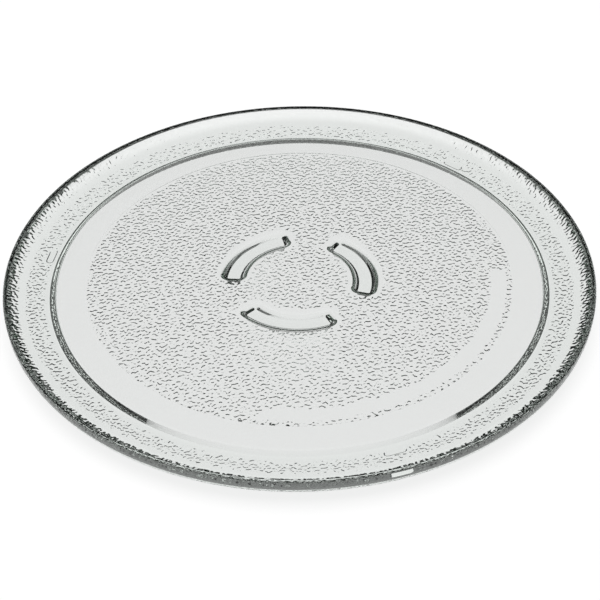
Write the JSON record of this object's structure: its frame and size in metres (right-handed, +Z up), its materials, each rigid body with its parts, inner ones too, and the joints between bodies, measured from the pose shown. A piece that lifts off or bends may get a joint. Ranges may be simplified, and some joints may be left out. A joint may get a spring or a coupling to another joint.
{
  "type": "microwave turntable plate",
  "caption": "Round pressed-glass plate with a flat serving face and a slightly raised, thick rounded rim, with a well for a roller ring and arc-shaped drive lugs underneath.",
  "frame": {"origin": "on the plate's axis, in the plane of the feet", "axes": "+Z up along the plate's axis, out of the serving face; one drive lug is centred on -Y"},
  "size_m": [0.28, 0.28, 0.0126],
  "materials": {
    "clear_glass": "clear pressed soda-lime glass, stippled underside"
  },
  "bodies": {
    "root": {"turntable_plate": "clear_glass"}
  },
  "joints": []
}
